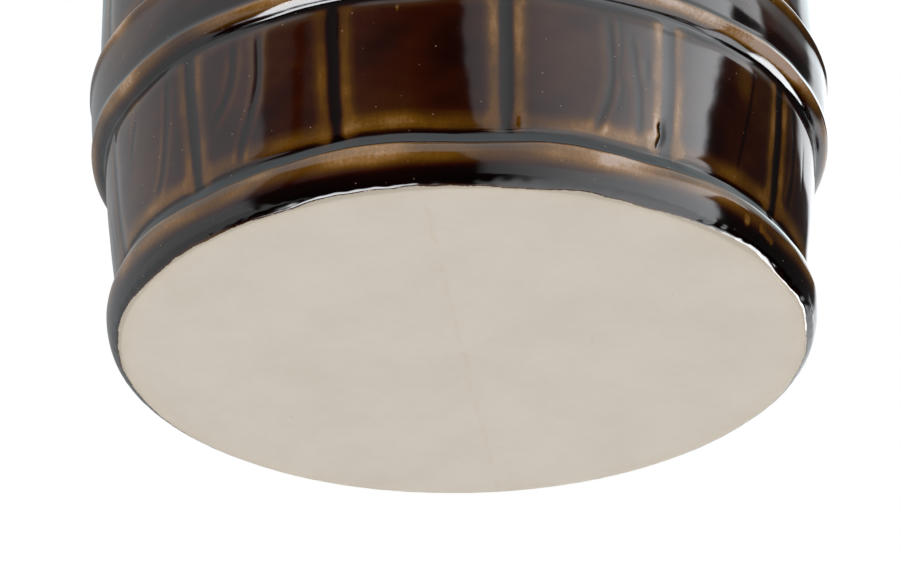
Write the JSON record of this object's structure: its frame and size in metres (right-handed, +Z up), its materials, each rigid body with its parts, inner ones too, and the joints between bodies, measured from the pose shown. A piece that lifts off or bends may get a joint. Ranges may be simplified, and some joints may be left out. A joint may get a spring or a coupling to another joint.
{
  "type": "ceramic barrel drink dispenser",
  "caption": "Upright glazed stoneware barrel with moulded staves and hoops, a lift-off lid with a knob, and a brass plug-cock tap low on the front.",
  "frame": {"origin": "centre of the flat foot, on the surface that the barrel stands on", "axes": "+Z up along the barrel's axis; the tap points along -Y"},
  "size_m": [0.1766, 0.2313, 0.2134],
  "materials": {
    "glaze": "glossy treacle-brown glaze over buff stoneware, foot left unglazed",
    "tap_brass": "turned and cast brass, lightly tarnished",
    "seal_rubber": "matt black rubber"
  },
  "bodies": {
    "barrel": {"barrel_body": "glaze", "tap_body": "tap_brass", "flange_seal": "seal_rubber", "inner_seal": "seal_rubber", "inner_washer": "tap_brass", "shank_nut": "tap_brass"},
    "lid": {"lid": "glaze"},
    "tap_key": {"tap_plug": "tap_brass", "tap_handle": "tap_brass", "handle_nut": "tap_brass", "plug_washer": "tap_brass", "plug_nut": "tap_brass"}
  },
  "joints": [
    {"name": "lid_lift", "type": "slide", "parent": "barrel", "child": "lid", "axis": [0, 0, 1], "range_m": [0, 0.06]},
    {"name": "tap_turn", "type": "hinge", "parent": "barrel", "child": "tap_key", "pos_m": [0, -0.11625, 0.0573], "axis": [0, 0, 1], "range_deg": [0, 90]}
  ]
}
